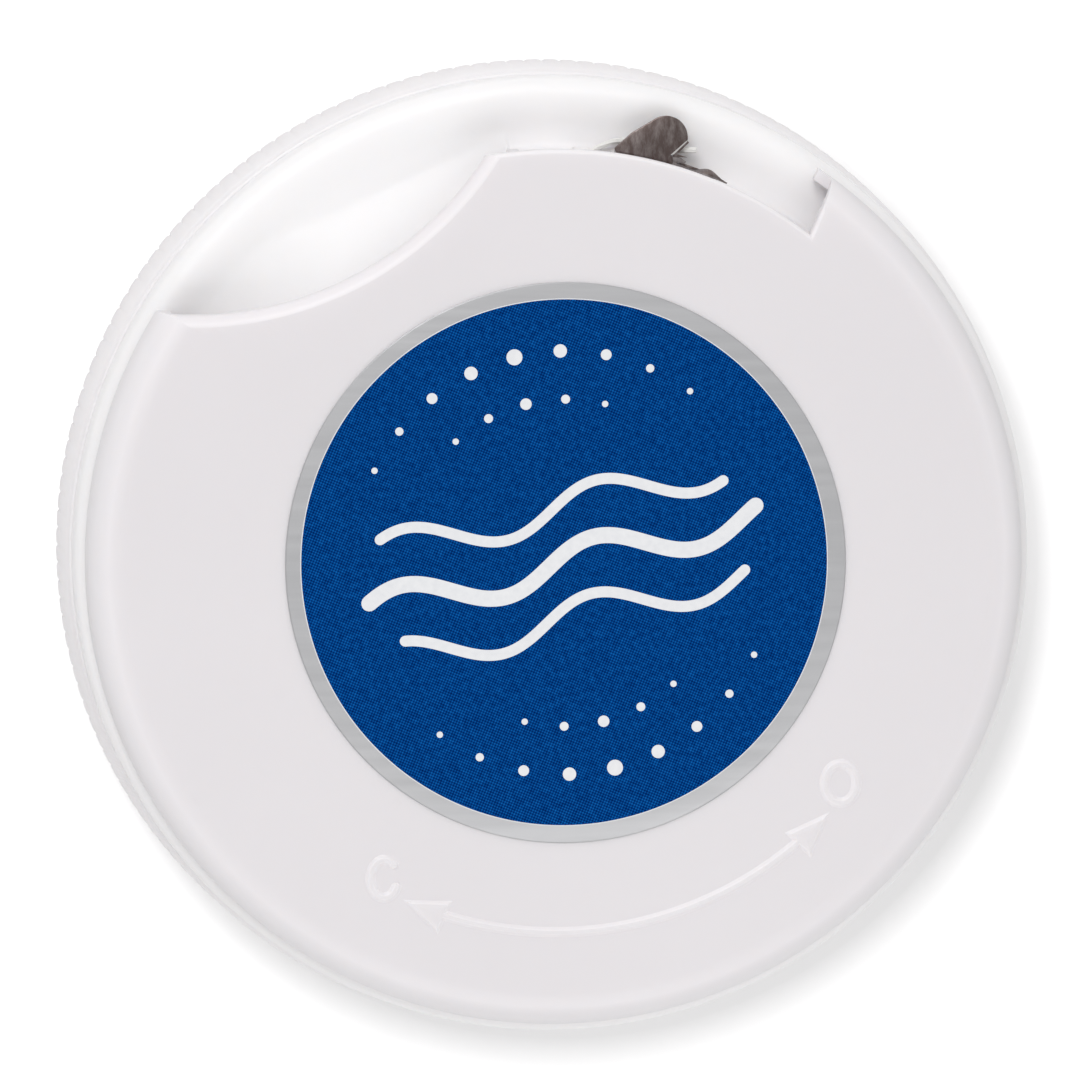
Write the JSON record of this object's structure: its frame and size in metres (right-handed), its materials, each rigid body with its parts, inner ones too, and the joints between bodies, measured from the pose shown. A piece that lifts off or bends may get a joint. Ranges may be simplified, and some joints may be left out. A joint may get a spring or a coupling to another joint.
{
  "type": "dental floss dispenser",
  "caption": "Round twist-open dental floss dispenser: a ribbed case with a bobbin of floss inside, a floss exit and steel cutter, and a front cover that turns to close its window.",
  "frame": {"origin": "centre of the flat back, where the dispenser lies on a surface", "axes": "+Z out through the front face along the turning axis; +Y towards the cutter side and +X towards the open mark's side, as seen from the front"},
  "size_m": [0.0616, 0.0616, 0.0162],
  "materials": {
    "case_plastic": "white moulded polypropylene, satin gloss",
    "deck_plastic": "white moulded polypropylene, satin gloss",
    "cover_plastic": "white moulded polypropylene, satin gloss",
    "cutter_steel": "stamped stainless steel, dark reflections",
    "silver_film": "metallised label film, dull silver",
    "blue_print": "deep blue print with a fine screen, under clear film",
    "bobbin_plastic": "natural moulded polypropylene",
    "floss": "waxed white multifilament"
  },
  "bodies": {
    "case": {"rear_case": "case_plastic", "inner_deck": "deck_plastic", "cutter_blade": "cutter_steel", "floss_strand": "floss"},
    "cover": {"front_cover": "cover_plastic", "label_film": "silver_film", "label_print": "blue_print"},
    "bobbin": {"floss_bobbin": "bobbin_plastic", "floss_winding": "floss"}
  },
  "joints": [
    {"name": "cover_turn", "type": "hinge", "parent": "case", "child": "cover", "pos_m": [0, 0, 0], "axis": [0, 0, 1], "range_deg": [0, 80.5]},
    {"name": "bobbin_spin", "type": "hinge", "parent": "case", "child": "bobbin", "pos_m": [0, 0, 0], "axis": [0, 0, 1], "continuous": true}
  ]
}
